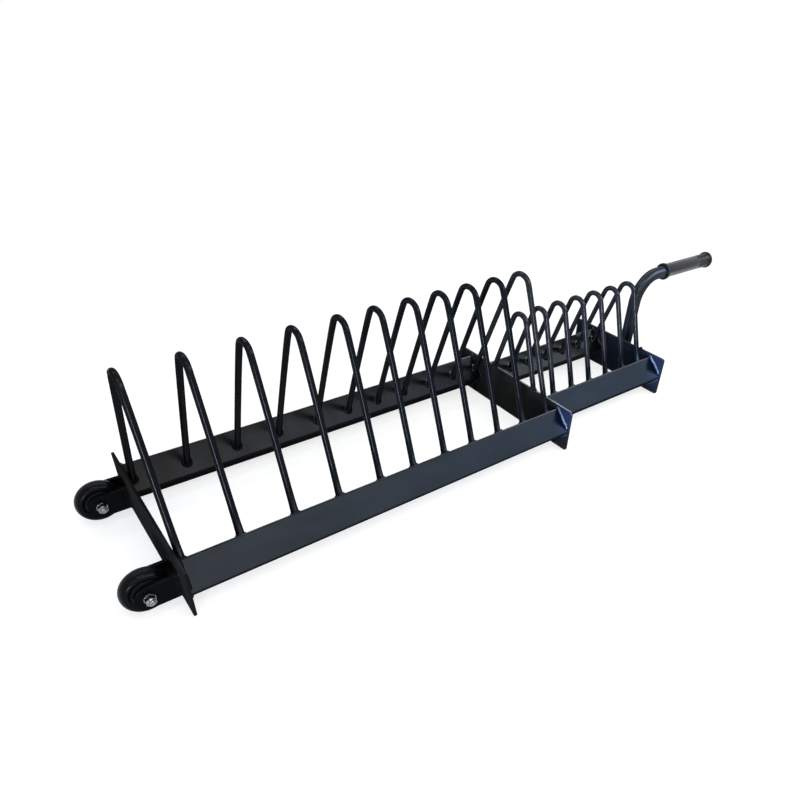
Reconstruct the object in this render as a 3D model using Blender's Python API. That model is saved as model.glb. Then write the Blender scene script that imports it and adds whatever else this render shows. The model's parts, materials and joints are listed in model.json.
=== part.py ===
"""Discus cart: a low welded rack on two wheels, with a bent pull handle at its far end.

Metres, +Z up. The cart stands level on the lower edges of its three cross plates, which lie at
z = 0. +X runs from the wheels to the handle, so +Y is the left side for someone who pushes from
the handle. The origin is on the floor, at the middle of the cart's bounding box.

A station is a distance along X from the inner face of the wheel-end plate.
"""

import math

import bmesh
import bpy
from mathutils import Matrix, Vector

# Driving dimensions of the rails and plates
TUBE_SIDE = 0.050
TUBE_WALL = 0.0025
TUBE_CORNER = 0.003
RAIL_FLOOR_GAP = 0.007
WIDE_APEX_SPAN = 0.250
NARROW_APEX_SPAN = 0.164
PLATE_THICKNESS = 0.004
PLATE_HEIGHT = 0.082
PLATE_CORNER = 0.005
HANDLE_PLATE_OVERHANG = 0.015
WELD_GAP = 0.0003

# Driving dimensions of the hoops
ROD_DIAMETER = 0.010
WELD_LEG = 0.002
TALL_HOOP_HEIGHT = 0.288
TALL_HOOP_RADIUS = 0.024
TALL_FOOT_INSET = 0.020
TALL_SLOTS = ((2, 0.083), (2, 0.0735), (2, 0.063), (4, 0.059))
TALL_END_GAP = 0.0075
SMALL_HOOP_HEIGHT = 0.211
SMALL_HOOP_RADIUS = 0.019
SMALL_FOOT_INSET = 0.018
SMALL_SLOTS = 6
SMALL_PITCH = 0.0503
SMALL_END_GAP = 0.0165

# Driving dimensions of the wheels and their forks
WHEEL_DIAMETER = 0.066
WHEEL_WIDTH = 0.024
WHEEL_TRACK = 0.220
WHEEL_FLOOR_GAP = 0.004
CROWN_RISE = 0.0073
SIDEWALL_DROP = 0.0026
SIDEWALL_TUCK = 0.001
AXLE_REACH = 0.041
CORE_DIAMETER = 0.040
CORE_WIDTH = 0.020
FORK_BAR = 0.038
FORK_THICKNESS = 0.005
FORK_CLEARANCE = 0.0025
BOLT_DIAMETER = 0.008
BEARING_OUTER = 0.022
BEARING_WIDTH = 0.007
BEARING_SHOULDER = 0.0185
SPACER_OUTER = 0.012
FIT_GAP = 0.0003
HEX_FLATS = 0.013
BOLT_HEAD_HEIGHT = 0.0053
HEX_CHAMFER = 0.0006
NUT_HEIGHT = 0.008
NUT_COLLAR = 0.002
BOLT_TIP = 0.0015
WASHER_DIAMETER = 0.016
WASHER_THICKNESS = 0.0016

# Driving dimensions of the handle
HANDLE_TUBE = 0.025
HANDLE_WALL = 0.002
HANDLE_HEIGHT = 0.217
HANDLE_BEND = 0.055
HANDLE_FOOT = 0.010
HANDLE_REACH = 0.246
GRIP_LENGTH = 0.158
GRIP_DIAMETER = 0.029
GRIP_RIM = 0.035
GRIP_RIM_LENGTH = 0.006
GRIP_EASE = 0.001
GRIP_FLARE = 0.003
GRIP_END_WALL = 0.004
GRIP_GROOVES = 3
GRIP_GROOVE_DEPTH = 0.0012
GRIP_GROOVE_WIDTH = 0.004
GRIP_GROOVE_PITCH = 0.010

# Derived heights and half widths
TUBE_REACH = TUBE_SIDE / math.sqrt(2)
ROUND_REACH = TUBE_REACH - TUBE_CORNER * (math.sqrt(2) - 1)
RAIL_HEIGHT = RAIL_FLOOR_GAP + ROUND_REACH
APEX_HEIGHT = RAIL_HEIGHT + TUBE_REACH
WIDE_Y = WIDE_APEX_SPAN / 2
NARROW_Y = NARROW_APEX_SPAN / 2
WIDE_HALF = WIDE_Y + ROUND_REACH
NARROW_HALF = NARROW_Y + ROUND_REACH
ROD_RADIUS = ROD_DIAMETER / 2
WHEEL_RADIUS = WHEEL_DIAMETER / 2
WHEEL_Y = WHEEL_TRACK / 2
AXLE_Z = WHEEL_RADIUS + WHEEL_FLOOR_GAP
FORK_INNER = WHEEL_WIDTH / 2 + FORK_CLEARANCE
FORK_OUTER = FORK_INNER + FORK_THICKNESS
BORE_RADIUS = BOLT_DIAMETER / 2 + FIT_GAP
SEAT_RADIUS = BEARING_OUTER / 2 + FIT_GAP

# Derived stations
TALL_PITCHES = [pitch for count, pitch in TALL_SLOTS for _ in range(count)]
TALL_STATIONS = [TALL_END_GAP + sum(TALL_PITCHES[:n]) for n in range(len(TALL_PITCHES) + 1)]
WHEEL_PLATE = -PLATE_THICKNESS
MIDDLE_PLATE = TALL_STATIONS[-1] + TALL_END_GAP
PERCH_STATION = MIDDLE_PLATE + PLATE_THICKNESS / 2
SMALL_STATIONS = [PERCH_STATION + n * SMALL_PITCH for n in range(SMALL_SLOTS + 1)]
HANDLE_PLATE = SMALL_STATIONS[-1] + SMALL_END_GAP
OUTER_FACE = HANDLE_PLATE + PLATE_THICKNESS
AXLE_STATION = WHEEL_PLATE - AXLE_REACH
HANDLE_STATION = OUTER_FACE + WELD_GAP + HANDLE_TUBE / 2
HANDLE_END = OUTER_FACE + HANDLE_REACH
CENTRE_STATION = (AXLE_STATION - WHEEL_RADIUS + HANDLE_END) / 2

# Facets of the round pieces
ROD_SIDES = 12
HOOP_STEPS = 8
CORNER_STEPS = 3
TUBE_SIDES = 16
BEND_STEPS = 10
WHEEL_SIDES = 32
SMALL_SIDES = 24
CROWN_STEPS = 8


def clear_scene():
    for obj in list(bpy.data.objects):
        bpy.data.objects.remove(obj, do_unlink=True)


def new_material(name, colour, roughness, metallic=0.0):
    finish = bpy.data.materials.new(name)
    finish.use_nodes = True
    shader = finish.node_tree.nodes["Principled BSDF"]
    shader.inputs["Base Color"].default_value = (*colour, 1.0)
    shader.inputs["Roughness"].default_value = roughness
    shader.inputs["Metallic"].default_value = metallic
    return finish


def mesh_from(bm, name, sharp_over=None):
    """Turns the bmesh into a mesh, smooth except at edges sharper than this angle in degrees."""
    bmesh.ops.recalc_face_normals(bm, faces=bm.faces)
    mesh = bpy.data.meshes.new(name)
    bm.to_mesh(mesh)
    bm.free()
    if sharp_over is not None:
        mesh.shade_smooth()
        mesh.set_sharp_from_angle(angle=math.radians(sharp_over))
    return mesh


def place(name, mesh, parent, finish, at=(0.0, 0.0, 0.0)):
    obj = bpy.data.objects.new(name, mesh)
    bpy.context.scene.collection.objects.link(obj)
    obj.parent = parent
    obj.location = at
    if not mesh.materials:
        mesh.materials.append(finish)
    return obj


def add_frame(name, parent=None, at=(0.0, 0.0, 0.0)):
    """An empty that carries the pieces built round one point."""
    frame = bpy.data.objects.new(name, None)
    bpy.context.scene.collection.objects.link(frame)
    frame.parent = parent
    frame.location = at
    return frame


def rounded_outline(bm, corners, radius):
    """A face through the corners, each rounded to the radius."""
    face = bm.faces.new([bm.verts.new(corner) for corner in corners])
    bmesh.ops.bevel(
        bm,
        geom=face.verts[:],
        offset=radius,
        segments=CORNER_STEPS,
        affect="VERTICES",
        profile=0.5,
    )
    return bm.faces[:]


def extrude_faces(bm, faces, along):
    """Closes the faces into a solid that runs the given way from them."""
    made = bmesh.ops.extrude_face_region(bm, geom=faces, use_keep_orig=True)
    moved = [item for item in made["geom"] if isinstance(item, bmesh.types.BMVert)]
    bmesh.ops.translate(bm, verts=moved, vec=along)


def plate_mesh(name, right, left):
    """An upright plate across the cart, between these two Y values, with its corners eased."""
    bm = bmesh.new()
    corners = [
        (0.0, right, 0.0),
        (0.0, left, 0.0),
        (0.0, left, PLATE_HEIGHT),
        (0.0, right, PLATE_HEIGHT),
    ]
    outline = rounded_outline(bm, corners, PLATE_CORNER)
    extrude_faces(bm, outline, (PLATE_THICKNESS, 0.0, 0.0))
    return mesh_from(bm, name)


def rail_mesh(name, length):
    """Square tube laid along X with one corner up, cut square at both ends."""
    bm = bmesh.new()
    reach = TUBE_REACH
    corners = [(0.0, reach, 0.0), (0.0, 0.0, reach), (0.0, -reach, 0.0), (0.0, 0.0, -reach)]
    section = rounded_outline(bm, corners, TUBE_CORNER)
    bmesh.ops.inset_region(
        bm, faces=section, thickness=TUBE_WALL, use_boundary=True, use_even_offset=True
    )
    bmesh.ops.delete(bm, geom=section, context="FACES")
    extrude_faces(bm, bm.faces[:], (length, 0.0, 0.0))
    return mesh_from(bm, name, sharp_over=50)


def leg_line(height, radius, foot):
    """The centre of a hoop's top bend, the angle at which its +Y leg leaves it, and that point."""
    centre = Vector((0.0, 0.0, height - radius))
    to_foot = foot - centre
    angle = math.atan2(to_foot.z, to_foot.y) + math.acos(radius / to_foot.length)
    shoulder = centre + radius * Vector((0.0, math.cos(angle), math.sin(angle)))
    return centre, angle, shoulder


def extend_leg(bm, edges, way, foot, normal, flare):
    """Runs a leg down to the plane at its foot, and flares its last millimetres into the weld."""
    for lift, spread in ((WELD_LEG, 0.0), (0.0, flare)):
        made = bmesh.ops.extrude_edge_only(bm, edges=edges)
        verts = [item for item in made["geom"] if isinstance(item, bmesh.types.BMVert)]
        edges = [item for item in made["geom"] if isinstance(item, bmesh.types.BMEdge)]
        plane = foot + normal * lift
        for vert in verts:
            vert.co += way * ((plane - vert.co).dot(normal) / way.dot(normal))
        middle = sum((vert.co for vert in verts), Vector()) / len(verts)
        for vert in verts:
            vert.co += (vert.co - middle).normalized() * spread
    bmesh.ops.contextual_create(bm, geom=edges)


def hoop_mesh(name, height, radius, foot, stop, normal, flare=WELD_LEG):
    """A bent rod in the plane x = 0, with its legs aimed at the feet and cut at the stop's plane.

    foot is where the +Y leg's centre line points. stop and normal give the plane that its end
    is cut to, and the -Y leg mirrors it.
    """
    centre, angle, shoulder = leg_line(height, radius, foot)
    way = (foot - shoulder).normalized()
    section = Matrix.Translation(shoulder) @ Matrix.Rotation(angle, 4, "X")
    bm = bmesh.new()
    bmesh.ops.create_circle(bm, segments=ROD_SIDES, radius=ROD_RADIUS, matrix=section)
    first = bm.edges[:]
    bend = bmesh.ops.spin(
        bm,
        geom=bm.verts[:] + first,
        cent=centre,
        axis=(1.0, 0.0, 0.0),
        angle=math.pi - 2 * angle,
        steps=HOOP_STEPS,
    )
    last = [item for item in bend["geom_last"] if isinstance(item, bmesh.types.BMEdge)]
    mirror = Vector((1.0, -1.0, 1.0))
    extend_leg(bm, first, way, stop, normal, flare)
    extend_leg(bm, last, way * mirror, stop * mirror, normal * mirror, flare)
    return mesh_from(bm, name, sharp_over=40)


def rail_foot(rail_y, inset):
    """The point on the upper inner face of a rail, this far in from its apex, and the way it faces."""
    normal = Vector((0.0, -1.0, 1.0)).normalized()
    return Vector((0.0, rail_y - inset, APEX_HEIGHT - inset)) + normal * WELD_GAP, normal


def hexagon_radius(flats, angle):
    """How far a hexagon's outline lies from its centre at this angle."""
    sixth = math.pi / 3
    return flats / 2 / math.cos((angle + sixth / 2) % sixth - sixth / 2)


def skin_loops(bm, loops, hollow):
    """Runs faces from each loop of points to the next.

    A hollow piece's loops run round its wall, so the last one meets the first. Otherwise the
    first loop and the last are each closed with a face.
    """
    rows = [[bm.verts.new(point) for point in loop] for loop in loops]
    following = rows[1:] + rows[:1] if hollow else rows[1:]
    for near, far in zip(rows, following):
        for step, vert in enumerate(near):
            ahead = (step + 1) % len(near)
            bm.faces.new((vert, near[ahead], far[ahead], far[step]))
    if not hollow:
        bm.faces.new(rows[0])
        bm.faces.new(rows[-1])


def lathe_mesh(name, rings, axis, sides, hollow, sharp_over=40):
    """Joins round or hexagonal rings, each (place along the axis, radius or flats, is it a hexagon)."""
    turn = Matrix.Identity(3) if axis == "X" else Matrix.Rotation(math.pi / 2, 3, "Z")
    loops = []
    for along, size, is_hexagon in rings:
        loop = []
        for step in range(sides):
            angle = 2 * math.pi * step / sides
            radius = hexagon_radius(size, angle) if is_hexagon else size
            loop.append(turn @ Vector((along, radius * math.cos(angle), radius * math.sin(angle))))
        loops.append(loop)
    bm = bmesh.new()
    skin_loops(bm, loops, hollow)
    return mesh_from(bm, name, sharp_over)


def round_rings(points):
    return [(along, radius, False) for along, radius in points]


def sleeve_rings(start, end, inner, outer):
    return round_rings([(start, inner), (start, outer), (end, outer), (end, inner)])


def tyre_mesh():
    """A tyre with a crowned tread, moulded round the core."""
    half = WHEEL_WIDTH / 2
    inner = CORE_DIAMETER / 2 + FIT_GAP
    shoulder = WHEEL_RADIUS - CROWN_RISE
    side = half - SIDEWALL_TUCK
    side_radius = shoulder - SIDEWALL_DROP
    rings = [(-CORE_WIDTH / 2, inner), (-side, side_radius)]
    for step in range(CROWN_STEPS + 1):
        angle = math.pi * step / CROWN_STEPS
        rings.append((-half * math.cos(angle), shoulder + CROWN_RISE * math.sin(angle)))
    rings += [(side, side_radius), (CORE_WIDTH / 2, inner)]
    return lathe_mesh("tyre", round_rings(rings), "Y", WHEEL_SIDES, hollow=True, sharp_over=35)


def core_mesh():
    """The wheel's core, with a seat for a bearing in each side and a shoulder between them."""
    half = CORE_WIDTH / 2
    seat = half - BEARING_WIDTH - FIT_GAP
    outer = CORE_DIAMETER / 2
    rings = [
        (-half, outer),
        (-half, SEAT_RADIUS),
        (-seat, SEAT_RADIUS),
        (-seat, BEARING_SHOULDER / 2),
        (seat, BEARING_SHOULDER / 2),
        (seat, SEAT_RADIUS),
        (half, SEAT_RADIUS),
        (half, outer),
    ]
    return lathe_mesh("core", round_rings(rings), "Y", WHEEL_SIDES, hollow=True)


def fork_mesh(name):
    """A flat bar in the plane of the wheel, rounded about the axle and drilled for its bolt."""
    bm = bmesh.new()
    half = FORK_BAR / 2
    back = AXLE_REACH - WELD_GAP
    outline = [Vector((back, 0.0, half))]
    for step in range(WHEEL_SIDES // 2 + 1):
        angle = math.pi / 2 + math.pi * step / (WHEEL_SIDES // 2)
        outline.append(Vector((half * math.cos(angle), 0.0, half * math.sin(angle))))
    outline.append(Vector((back, 0.0, -half)))
    verts = [bm.verts.new(point) for point in outline]
    for near, far in zip(verts, verts[1:] + verts[:1]):
        bm.edges.new((near, far))
    upright = Matrix.Rotation(math.pi / 2, 4, "X")
    bmesh.ops.create_circle(bm, segments=SMALL_SIDES, radius=BORE_RADIUS, matrix=upright)
    bmesh.ops.triangle_fill(bm, use_beauty=True, edges=bm.edges[:])
    extrude_faces(bm, bm.faces[:], (0.0, FORK_THICKNESS, 0.0))
    return mesh_from(bm, name, sharp_over=40)


def bolt_mesh():
    """A hexagon-head bolt along Y: its head bears on the +Y fork plate, its end leaves the nut."""
    seat = FORK_OUTER + FIT_GAP
    radius = BOLT_DIAMETER / 2
    tip = -(FORK_OUTER + 3 * FIT_GAP + WASHER_THICKNESS + NUT_HEIGHT + BOLT_TIP)
    rings = [
        (tip, radius - BOLT_TIP / 2, False),
        (tip + BOLT_TIP / 2, radius, False),
        (seat, radius, False),
        (seat, HEX_FLATS, True),
        (seat + BOLT_HEAD_HEIGHT - HEX_CHAMFER, HEX_FLATS, True),
        (seat + BOLT_HEAD_HEIGHT, HEX_FLATS / 2 - HEX_CHAMFER, False),
    ]
    return lathe_mesh("axle_bolt", rings, "Y", SMALL_SIDES, hollow=False, sharp_over=30)


def nut_mesh():
    """A locking nut: a hexagon with the round collar of its insert on the outer side."""
    flat_end = NUT_COLLAR - NUT_HEIGHT
    rings = [
        (0.0, BORE_RADIUS, False),
        (0.0, HEX_FLATS, True),
        (flat_end, HEX_FLATS, True),
        (flat_end, HEX_FLATS / 2 - HEX_CHAMFER, False),
        (-NUT_HEIGHT, HEX_FLATS / 2 - 2 * HEX_CHAMFER, False),
        (-NUT_HEIGHT, BORE_RADIUS, False),
    ]
    return lathe_mesh("axle_nut", rings, "Y", SMALL_SIDES, hollow=True, sharp_over=30)


def handle_path():
    """The handle tube's centre line, as points with the angle that it has turned through by each."""
    bend_start = Vector((0.0, 0.0, HANDLE_HEIGHT - HANDLE_BEND))
    path = [(Vector((0.0, 0.0, HANDLE_FOOT)), 0.0)]
    for step in range(BEND_STEPS + 1):
        angle = math.pi / 2 * step / BEND_STEPS
        along_bend = HANDLE_BEND * Vector((1 - math.cos(angle), 0.0, math.sin(angle)))
        path.append((bend_start + along_bend, angle))
    run = HANDLE_END - GRIP_END_WALL - FIT_GAP - HANDLE_STATION
    path.append((Vector((run, 0.0, HANDLE_HEIGHT)), math.pi / 2))
    return path


def handle_mesh():
    """A round tube that rises up the outer face of the end plate and bends over to run along X."""
    path = handle_path()
    outer = HANDLE_TUBE / 2
    rim = []
    for step in range(TUBE_SIDES):
        around = 2 * math.pi * step / TUBE_SIDES
        rim.append(Vector((math.cos(around), math.sin(around), 0.0)))
    loops = []
    for radius, way in ((outer, path), (outer - HANDLE_WALL, path[::-1])):
        for point, angle in way:
            section = Matrix.Translation(point) @ Matrix.Rotation(angle, 4, "Y")
            loops.append([section @ (radius * ray) for ray in rim])
    bm = bmesh.new()
    skin_loops(bm, loops, hollow=True)
    return mesh_from(bm, "handle_tube", sharp_over=50)


def grip_mesh():
    """A moulded grip, closed at its outer end, with a rim at both ends and rings near the outer."""
    bore = HANDLE_TUBE / 2 + FIT_GAP
    radius = GRIP_DIAMETER / 2
    rim = GRIP_RIM / 2
    points = [
        (GRIP_LENGTH - GRIP_END_WALL, bore),
        (0.0, bore),
        (0.0, rim - GRIP_EASE),
        (GRIP_EASE, rim),
        (GRIP_RIM_LENGTH - GRIP_EASE, rim),
        (GRIP_RIM_LENGTH, rim - GRIP_EASE),
        (GRIP_RIM_LENGTH + GRIP_EASE, radius),
    ]
    first_groove = GRIP_LENGTH - 2 * GRIP_RIM_LENGTH - GRIP_GROOVES * GRIP_GROOVE_PITCH
    for n in range(GRIP_GROOVES):
        start = first_groove + n * GRIP_GROOVE_PITCH
        end = start + GRIP_GROOVE_WIDTH
        slope = GRIP_GROOVE_DEPTH / 2
        points += [
            (start, radius),
            (start + slope, radius - GRIP_GROOVE_DEPTH),
            (end - slope, radius - GRIP_GROOVE_DEPTH),
            (end, radius),
        ]
    points += [
        (GRIP_LENGTH - GRIP_RIM_LENGTH - GRIP_FLARE, radius),
        (GRIP_LENGTH - GRIP_RIM_LENGTH, rim),
    ]
    for step in range(CORNER_STEPS + 1):
        angle = math.pi / 2 * step / CORNER_STEPS
        along = GRIP_LENGTH - GRIP_FLARE * (1 - math.sin(angle))
        points.append((along, rim - GRIP_FLARE * (1 - math.cos(angle))))
    return lathe_mesh("handle_grip", round_rings(points), "X", SMALL_SIDES, hollow=False)


def build_frame(cart, paint):
    for name, station, right, left in (
        ("wheel_end_plate", WHEEL_PLATE, -WIDE_HALF, WIDE_HALF),
        ("middle_plate", MIDDLE_PLATE, -WIDE_HALF, WIDE_HALF),
        ("handle_end_plate", HANDLE_PLATE, -NARROW_HALF, NARROW_HALF + HANDLE_PLATE_OVERHANG),
    ):
        place(name, plate_mesh(name, right, left), cart, paint, (station, 0.0, 0.0))
    sections = (
        ("wide_rail", 0.0, MIDDLE_PLATE, WIDE_Y),
        ("narrow_rail", MIDDLE_PLATE + PLATE_THICKNESS, HANDLE_PLATE, NARROW_Y),
    )
    for name, start, end, rail_y in sections:
        mesh = rail_mesh(name, end - start - 2 * WELD_GAP)
        for side, sign in (("left", 1), ("right", -1)):
            at = (start + WELD_GAP, sign * rail_y, RAIL_HEIGHT)
            place(f"{name}_{side}", mesh, cart, paint, at)


def build_hoops(cart, paint):
    foot, normal = rail_foot(WIDE_Y, TALL_FOOT_INSET)
    tall = hoop_mesh("tall_hoop", TALL_HOOP_HEIGHT, TALL_HOOP_RADIUS, foot, foot, normal)
    for n, station in enumerate(TALL_STATIONS, 1):
        place(f"tall_hoop_{n:02d}", tall, cart, paint, (station, 0.0, 0.0))
    foot, normal = rail_foot(NARROW_Y, SMALL_FOOT_INSET)
    small = hoop_mesh("small_hoop", SMALL_HOOP_HEIGHT, SMALL_HOOP_RADIUS, foot, foot, normal)
    plate_top = Vector((0.0, 0.0, PLATE_HEIGHT + WELD_GAP))
    up = Vector((0.0, 0.0, 1.0))
    perched = hoop_mesh(
        "perched_hoop", SMALL_HOOP_HEIGHT, SMALL_HOOP_RADIUS, foot, plate_top, up, flare=0.0
    )
    for n, station in enumerate(SMALL_STATIONS, 1):
        mesh = perched if n == 1 else small
        place(f"small_hoop_{n}", mesh, cart, paint, (station, 0.0, 0.0))


def build_wheels(cart, paint, rubber, plastic, steel, zinc):
    half_core = CORE_WIDTH / 2
    shoulder = half_core - BEARING_WIDTH
    spacer = SPACER_OUTER / 2
    sleeve = lathe_mesh(
        "bearing_spacer",
        sleeve_rings(FIT_GAP - shoulder, shoulder - FIT_GAP, BORE_RADIUS, spacer),
        "Y",
        SMALL_SIDES,
        hollow=True,
    )
    side_sleeve = lathe_mesh(
        "side_spacer",
        sleeve_rings(half_core + FIT_GAP, FORK_INNER - FIT_GAP, BORE_RADIUS, spacer),
        "Y",
        SMALL_SIDES,
        hollow=True,
    )
    bearing = lathe_mesh(
        "bearing",
        sleeve_rings(shoulder, half_core, BORE_RADIUS, BEARING_OUTER / 2),
        "Y",
        SMALL_SIDES,
        hollow=True,
    )
    washer_seat = FORK_OUTER + FIT_GAP
    washer = lathe_mesh(
        "axle_washer",
        sleeve_rings(-washer_seat - WASHER_THICKNESS, -washer_seat, BORE_RADIUS, WASHER_DIAMETER / 2),
        "Y",
        SMALL_SIDES,
        hollow=True,
    )
    nut_place = (0.0, -washer_seat - WASHER_THICKNESS - FIT_GAP, 0.0)
    tyre = tyre_mesh()
    core = core_mesh()
    bolt = bolt_mesh()
    nut = nut_mesh()
    fork = fork_mesh("fork_plate")
    for side, sign in (("left", 1), ("right", -1)):
        axle = add_frame(f"{side}_axle", cart, (AXLE_STATION, sign * WHEEL_Y, AXLE_Z))
        place(f"wheel_{side}_tyre", tyre, axle, rubber)
        place(f"wheel_{side}_core", core, axle, plastic)
        place(f"wheel_{side}_bearing_spacer", sleeve, axle, steel)
        place(f"axle_bolt_{side}", bolt, axle, zinc)
        place(f"axle_nut_{side}", nut, axle, zinc, nut_place)
        place(f"axle_washer_{side}", washer, axle, zinc)
        for end, turned in (("a", False), ("b", True)):
            fork_y = -FORK_OUTER if turned else FORK_INNER
            place(f"fork_plate_{side}_{end}", fork, axle, paint, (0.0, fork_y, 0.0))
            for name, mesh in (("bearing", bearing), ("side_spacer", side_sleeve)):
                ring = place(f"wheel_{side}_{name}_{end}", mesh, axle, steel)
                ring.rotation_euler.z = math.pi if turned else 0.0


def build_handle(cart, paint, grip_rubber):
    place("handle_tube", handle_mesh(), cart, paint, (HANDLE_STATION, 0.0, 0.0))
    grip_place = (HANDLE_END - GRIP_LENGTH, 0.0, HANDLE_HEIGHT)
    place("handle_grip", grip_mesh(), cart, grip_rubber, grip_place)


def main():
    clear_scene()
    paint = new_material("black_powder_coat", (0.022, 0.024, 0.030), 0.42)
    rubber = new_material("tyre_rubber", (0.012, 0.012, 0.014), 0.50)
    plastic = new_material("core_plastic", (0.018, 0.018, 0.020), 0.45)
    grip_rubber = new_material("grip_rubber", (0.030, 0.031, 0.034), 0.60)
    steel = new_material("bearing_steel", (0.45, 0.45, 0.46), 0.30, 1.0)
    zinc = new_material("zinc_plate", (0.60, 0.61, 0.62), 0.32, 1.0)
    cart = add_frame("cart", at=(-CENTRE_STATION, 0.0, 0.0))
    build_frame(cart, paint)
    build_hoops(cart, paint)
    build_wheels(cart, paint, rubber, plastic, steel, zinc)
    build_handle(cart, paint, grip_rubber)


main()
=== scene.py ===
"""Looks of the discus cart: finished surfaces, weld seams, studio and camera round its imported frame.

Metres, +Z up, in the frame of the CAD model: +X runs from the wheels to the handle, and +Y is the
left side for someone who faces the handle from the wheels.
"""

import json
import math

import bmesh
import bpy
from mathutils import Matrix, Vector, noise


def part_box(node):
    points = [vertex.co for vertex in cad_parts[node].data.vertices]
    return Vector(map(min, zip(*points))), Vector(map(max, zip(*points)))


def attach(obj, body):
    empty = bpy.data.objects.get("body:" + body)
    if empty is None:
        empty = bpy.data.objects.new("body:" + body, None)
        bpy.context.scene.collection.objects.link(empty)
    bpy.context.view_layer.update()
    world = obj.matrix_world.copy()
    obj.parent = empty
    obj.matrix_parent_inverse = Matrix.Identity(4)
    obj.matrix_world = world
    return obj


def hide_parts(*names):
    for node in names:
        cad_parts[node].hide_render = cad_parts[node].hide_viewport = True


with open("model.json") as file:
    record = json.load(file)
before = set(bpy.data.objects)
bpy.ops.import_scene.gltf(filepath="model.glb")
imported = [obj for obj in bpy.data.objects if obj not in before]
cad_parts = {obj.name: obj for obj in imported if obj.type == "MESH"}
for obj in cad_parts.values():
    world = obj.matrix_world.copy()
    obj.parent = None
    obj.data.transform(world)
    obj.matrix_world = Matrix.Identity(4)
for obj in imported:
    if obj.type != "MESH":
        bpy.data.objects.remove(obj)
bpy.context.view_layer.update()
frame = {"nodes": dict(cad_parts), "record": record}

NODES = frame["nodes"]
RECORD = frame["record"]
BODY_OF = {
    node: body for body, members in RECORD["behaviour"]["bodies"].items() for node in members
}
SLOT_OF = {item["node"]: item["material_slot"] for item in RECORD["subparts"]}

# Sizes of the finished surfaces
MERGE = 0.00001
FLAT_ANGLE = math.radians(3)
SHARP_ANGLE = math.radians(40)
ROD_RADIUS = 0.005
ROD_SIDES = 12
HANDLE_RADIUS = 0.0125
HANDLE_SIDES = 16
TUBE_CORNER = 0.003
PLATE_EDGE = 0.0006
FORK_EDGE = 0.0005
SMALL_EDGE = 0.0003
BEVEL_SEGMENTS = 3
SMALL_BEVEL_SEGMENTS = 2
SMOOTH_LEVELS = 2
LARGE_FACES_LEAD = 100

# Sizes of the weld seams
FOOT_BEAD = 0.0040
RAIL_BEAD = 0.0036
FORK_BEAD = 0.0030
HANDLE_BEAD = 0.0052
PERCH_BEAD = 0.0034
BEAD_SINK = 0.0008
BEAD_BULGE = 0.22
BEAD_ARC_STEPS = 8
BEAD_STEP = 0.0007
RIPPLE_PITCH = 0.0024
RIPPLE_DEPTH = 0.07
BEAD_WOBBLE = 0.30
WOBBLE_SCALE = 110.0
BEAD_TAPER = 0.005
BEAD_END = 0.45
CORNER_STEPS = 6
OUTER_CORNER_GAP = 0.007
PERCH_DROOP = 0.9
HANDLE_SEAM_Y = 0.0045
HANDLE_SEAM_END = 0.0015
HANDLE_SEAM_BACK = 0.75
HANDLE_SEAM_ASIDE = 0.66
LUMP_Y = -0.0535
LUMP_RADIUS = 0.0038
LUMP_ROUGHNESS = 0.25
LUMP_SCALE = 300.0
LUMP_SQUASH = 0.8
LUMP_DETAIL = 4

# Where the paint changes and where light and shade are painted into it, in metres, each pair from least
# to most
# Painted blue sheen round two plate welds
BLUE_SHEEN_REACH = {"middle_plate": 0.046, "handle_end_plate": 0.064}
BLUE_SHEEN_INSET = 0.004
BLUE_SHEEN_DROP = 0.018
# Painted bluish light, towards the right and the handle
BLUE_LIGHT_SPAN = (-0.80, 0.30)
# Painted shade on the forks
FORK_SHADE_X = (-0.600, -0.604)
# Dust that turns to painted bluish light towards the handle
BLUE_LIT_DUST_X = (0.20, 0.35)
# Painted sheen on the small hoops and the handle
SHEEN_Z = (0.09, 0.12)
HOOP_SHEEN_X = (0.065, 0.095)
HANDLE_SHEEN_X = (0.45, 0.51)
# Painted highlights on what faces up and on edges, held back at the wheel end
TOP_HIGHLIGHT_Z = (0.15, 0.12)
HIGHLIGHT_REACH_X = (-0.58, -0.50)
# Painted highlights on the rails' crests, and a painted reflection on their inner faces
CREST_Z = (0.088, 0.083)
CREST_X = (-0.15, 0.12)
RAIL_REFLECTION_X = (0.10, 0.12)
RAIL_REFLECTION_Z = (0.080, 0.074)
SCUFFED_Z = (0.005, 0.0008)
EDGE_RADIUS = 0.0012
WAVE_DEPTH = 0.00006
PEEL_DEPTH = 0.000012

# How a painted surface faces, from its normal, each pair from least to most
FACING_WHEELS = (-0.90, -0.98)
FACING_DOWN = (-0.3, -0.7)
FACING_UP = (0.92, 0.99)
FACING_UP_CREST = (0.80, 0.95)
FACING_INWARD = (-0.02, -0.035)
SEAM_SLANT = 0.55
SEAM_SPREAD = (0.35, 0.15)
EDGE_TURN = (0.995, 0.90)
EDGE_SAMPLES = 4

# How much the paint and the light and shade painted into it change, as shares and powers
BLUE_LIGHT_SKEW = 1.5
BLUE_SHEEN_CORE = 0.3
RAIL_BLUE_SHEEN_SHARE = 0.6
RAIL_BLUE_SHEEN_FALL = 3.0
HOOP_SHEEN_SHARE = 0.40
HOOP_TOP_HIGHLIGHT = 0.25
WHEEL_END_EDGE_HIGHLIGHT = 0.15
LEAST_DUST = 0.55
LEAST_TOP_HIGHLIGHT = 0.25
MOST_SCUFF = 0.8
PAINT_METALLIC = 0.75
SATIN_ROUGHNESS = (0.20, 0.28)
DULL_ROUGHNESS = 0.40

# Patches of noise: how many to the metre, and how finely they break up
TONE_PATCHES = (7.0, 3.0)
DUST_PATCHES = (35.0, 4.0)
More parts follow.
